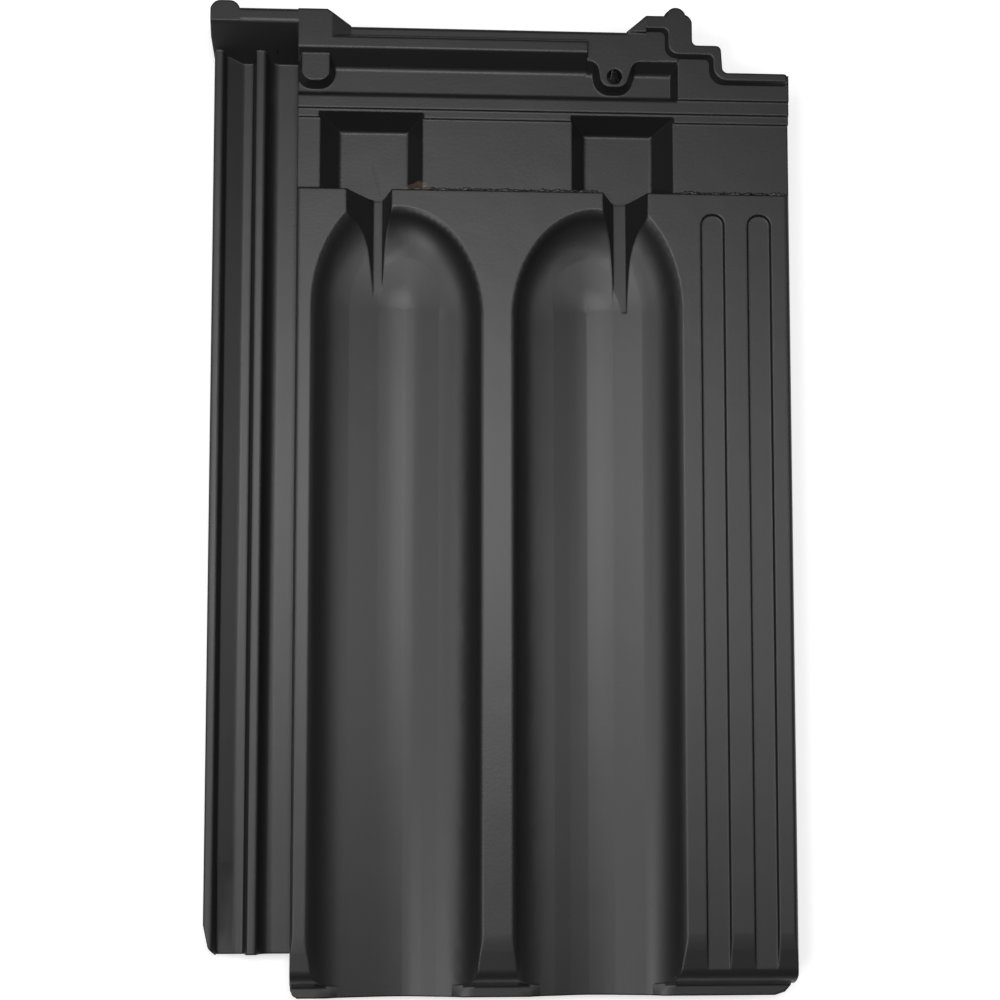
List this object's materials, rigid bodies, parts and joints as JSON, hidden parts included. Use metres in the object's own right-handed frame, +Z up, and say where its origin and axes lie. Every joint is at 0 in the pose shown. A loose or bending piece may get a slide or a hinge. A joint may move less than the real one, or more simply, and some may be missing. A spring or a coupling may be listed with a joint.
{
  "type": "clay roof tile",
  "caption": "Interlocking clay roof tile with round-headed troughs, side and head locks, drain pockets, a nail hole and hanging nibs, in a charcoal engobe.",
  "frame": {"origin": "middle of the tile's bounding box in plan, on the level of the nib bottoms it stands on", "axes": "+X across the tile from the side lock to the cover flank, +Y along the tile from foot to head, +Z up out of the weather face"},
  "size_m": [0.276, 0.465, 0.034],
  "materials": {
    "engobed_clay": "satin-matt charcoal engobe on fired clay"
  },
  "bodies": {
    "root": {"tile": "engobed_clay"}
  },
  "joints": []
}
